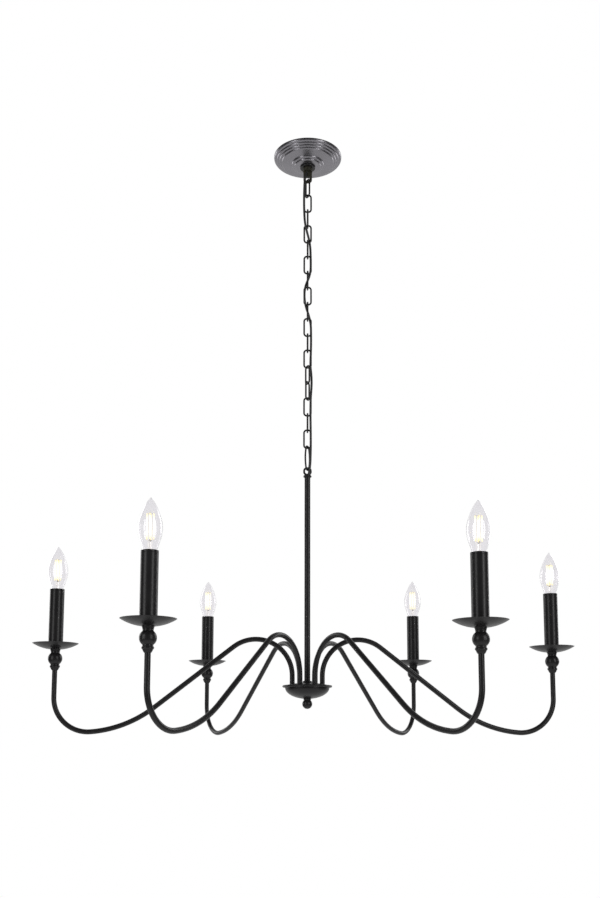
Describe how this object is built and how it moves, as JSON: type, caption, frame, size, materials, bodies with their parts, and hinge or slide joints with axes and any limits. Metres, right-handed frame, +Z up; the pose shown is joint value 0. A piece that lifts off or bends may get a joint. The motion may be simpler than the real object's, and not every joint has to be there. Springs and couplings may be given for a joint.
{
  "type": "multi arm chandelier",
  "caption": "Candle-style chandelier that hangs on a chain from a ceiling canopy, with curved arms, drip pans, sleeves and flame bulbs.",
  "frame": {"origin": "on the ceiling, at the middle of the mounting strap, on the axis of the threaded nipple and the stem", "axes": "+Z up, into the ceiling; +X along the strap and along arm 1; +Y by the right-hand rule"},
  "size_m": [0.9127, 0.8044, 1.0237],
  "materials": {
    "black_satin": "satin black paint",
    "canopy_gunmetal": "satin gunmetal paint",
    "collar_bronze": "dark bronze-black paint",
    "zinc_steel": "bright zinc plate",
    "ground_green": "green dyed plate",
    "cord_plastic": "soft black jacket",
    "lead_plastic": "plain insulation",
    "wire_cap_plastic": "plain grey",
    "socket_plastic": "moulded phenolic",
    "bulb_glass": "clear glass",
    "bulb_cap_metal": "bright nickel"
  },
  "bodies": {
    "ceiling_mount": {"ceiling_strap": "zinc_steel", "ground_screw": "ground_green", "canopy_nipple": "zinc_steel", "nipple_nut": "zinc_steel", "canopy": "canopy_gunmetal", "canopy_ring": "black_satin", "canopy_loop": "collar_bronze", "canopy_wire_caps": "wire_cap_plastic", "canopy_leads": "lead_plastic", "supply_cord": "cord_plastic"},
    "link_01": {"chain_link_01": "black_satin"},
    "link_02": {"chain_link_02": "black_satin"},
    "link_03": {"chain_link_03": "black_satin"},
    "link_04": {"chain_link_04": "black_satin"},
    "link_05": {"chain_link_05": "black_satin"},
    "link_06": {"chain_link_06": "black_satin"},
    "link_07": {"chain_link_07": "black_satin"},
    "link_08": {"chain_link_08": "black_satin"},
    "link_09": {"chain_link_09": "black_satin"},
    "link_10": {"chain_link_10": "black_satin"},
    "link_11": {"chain_link_11": "black_satin"},
    "link_12": {"chain_link_12": "black_satin"},
    "link_13": {"chain_link_13": "black_satin"},
    "link_14": {"chain_link_14": "black_satin"},
    "link_15": {"chain_link_15": "black_satin"},
    "link_16": {"chain_link_16": "black_satin"},
    "link_17": {"chain_link_17": "black_satin"},
    "connector": {"connector_link": "black_satin"},
    "fixture": {"stem_loop": "black_satin", "stem_tube": "black_satin", "stem_collar": "black_satin", "hub_cover": "black_satin", "hub_bowl": "black_satin", "hub_nipple": "zinc_steel", "lock_nuts": "zinc_steel", "hub_wire_caps": "wire_cap_plastic", "finial": "black_satin", "arm_1": "black_satin", "arm_2": "black_satin", "arm_3": "black_satin", "arm_4": "black_satin", "arm_5": "black_satin", "arm_6": "black_satin", "arm_leads": "lead_plastic", "arm_knobs": "black_satin", "drip_pans": "black_satin", "candle_sockets": "socket_plastic", "candle_sleeves": "black_satin"},
    "bulb_1": {"bulb_glass_1": "bulb_glass", "bulb_base_1": "bulb_cap_metal"},
    "bulb_2": {"bulb_glass_2": "bulb_glass", "bulb_base_2": "bulb_cap_metal"},
    "bulb_3": {"bulb_glass_3": "bulb_glass", "bulb_base_3": "bulb_cap_metal"},
    "bulb_4": {"bulb_glass_4": "bulb_glass", "bulb_base_4": "bulb_cap_metal"},
    "bulb_5": {"bulb_glass_5": "bulb_glass", "bulb_base_5": "bulb_cap_metal"},
    "bulb_6": {"bulb_glass_6": "bulb_glass", "bulb_base_6": "bulb_cap_metal"}
  },
  "joints": [
    {"name": "link_01_swing", "type": "hinge", "parent": "ceiling_mount", "child": "link_01", "pos_m": [0, 0, -0.0468], "axis": [1, 0, 0], "range_deg": [-25, 25], "deforming": ["supply_cord"]},
    {"name": "link_02_swing", "type": "hinge", "parent": "link_01", "child": "link_02", "pos_m": [0, 0, -0.0748], "axis": [-0.5, 0.866, 0], "range_deg": [-25, 25], "deforming": ["supply_cord"]},
    {"name": "link_03_swing", "type": "hinge", "parent": "link_02", "child": "link_03", "pos_m": [0, 0, -0.10355], "axis": [-1, 0, 0], "range_deg": [-25, 25], "deforming": ["supply_cord"]},
    {"name": "link_04_swing", "type": "hinge", "parent": "link_03", "child": "link_04", "pos_m": [0, 0, -0.1323], "axis": [0, 1, 0], "range_deg": [-25, 25], "deforming": ["supply_cord"]},
    {"name": "link_05_swing", "type": "hinge", "parent": "link_04", "child": "link_05", "pos_m": [0, 0, -0.16105], "axis": [1, 0, 0], "range_deg": [-25, 25], "deforming": ["supply_cord"]},
    {"name": "link_06_swing", "type": "hinge", "parent": "link_05", "child": "link_06", "pos_m": [0, 0, -0.1898], "axis": [0, -1, 0], "range_deg": [-25, 25], "deforming": ["supply_cord"]},
    {"name": "link_07_swing", "type": "hinge", "parent": "link_06", "child": "link_07", "pos_m": [0, 0, -0.21855], "axis": [-1, 0, 0], "range_deg": [-25, 25], "deforming": ["supply_cord"]},
    {"name": "link_08_swing", "type": "hinge", "parent": "link_07", "child": "link_08", "pos_m": [0, 0, -0.2473], "axis": [0, 1, 0], "range_deg": [-25, 25], "deforming": ["supply_cord"]},
    {"name": "link_09_swing", "type": "hinge", "parent": "link_08", "child": "link_09", "pos_m": [0, 0, -0.27605], "axis": [1, 0, 0], "range_deg": [-25, 25], "deforming": ["supply_cord"]},
    {"name": "link_10_swing", "type": "hinge", "parent": "link_09", "child": "link_10", "pos_m": [0, 0, -0.3048], "axis": [0, -1, 0], "range_deg": [-25, 25], "deforming": ["supply_cord"]},
    {"name": "link_11_swing", "type": "hinge", "parent": "link_10", "child": "link_11", "pos_m": [0, 0, -0.33355], "axis": [-1, 0, 0], "range_deg": [-25, 25], "deforming": ["supply_cord"]},
    {"name": "link_12_swing", "type": "hinge", "parent": "link_11", "child": "link_12", "pos_m": [0, 0, -0.3623], "axis": [0, 1, 0], "range_deg": [-25, 25], "deforming": ["supply_cord"]},
    {"name": "link_13_swing", "type": "hinge", "parent": "link_12", "child": "link_13", "pos_m": [0, 0, -0.39105], "axis": [1, 0, 0], "range_deg": [-25, 25], "deforming": ["supply_cord"]},
    {"name": "link_14_swing", "type": "hinge", "parent": "link_13", "child": "link_14", "pos_m": [0, 0, -0.4198], "axis": [0.5, -0.866, 0], "range_deg": [-25, 25], "deforming": ["supply_cord"]},
    {"name": "link_15_swing", "type": "hinge", "parent": "link_14", "child": "link_15", "pos_m": [0, 0, -0.44855], "axis": [0.5, 0.866, 0], "range_deg": [-25, 25], "deforming": ["supply_cord"]},
    {"name": "link_16_swing", "type": "hinge", "parent": "link_15", "child": "link_16", "pos_m": [0, 0, -0.4773], "axis": [-1, 0, 0], "range_deg": [-25, 25], "deforming": ["supply_cord"]},
    {"name": "link_17_swing", "type": "hinge", "parent": "link_16", "child": "link_17", "pos_m": [0, 0, -0.50605], "axis": [0, -1, 0], "range_deg": [-25, 25], "deforming": ["supply_cord"]},
    {"name": "connector_swing", "type": "hinge", "parent": "link_17", "child": "connector", "pos_m": [0, 0, -0.5348], "axis": [1, 0, 0], "range_deg": [-25, 25], "deforming": ["supply_cord"]},
    {"name": "fixture_swing", "type": "hinge", "parent": "connector", "child": "fixture", "pos_m": [0, 0, -0.57345], "axis": [-0.5, -0.866, 0], "range_deg": [-25, 25], "deforming": ["supply_cord"]},
    {"name": "bulb_1_out", "type": "slide", "parent": "fixture", "child": "bulb_1", "axis": [0, 0, 1], "range_m": [0, 0.022]},
    {"name": "bulb_2_out", "type": "slide", "parent": "fixture", "child": "bulb_2", "axis": [0, 0, 1], "range_m": [0, 0.022]},
    {"name": "bulb_3_out", "type": "slide", "parent": "fixture", "child": "bulb_3", "axis": [0, 0, 1], "range_m": [0, 0.022]},
    {"name": "bulb_4_out", "type": "slide", "parent": "fixture", "child": "bulb_4", "axis": [0, 0, 1], "range_m": [0, 0.022]},
    {"name": "bulb_5_out", "type": "slide", "parent": "fixture", "child": "bulb_5", "axis": [0, 0, 1], "range_m": [0, 0.022]},
    {"name": "bulb_6_out", "type": "slide", "parent": "fixture", "child": "bulb_6", "axis": [0, 0, 1], "range_m": [0, 0.022]}
  ]
}
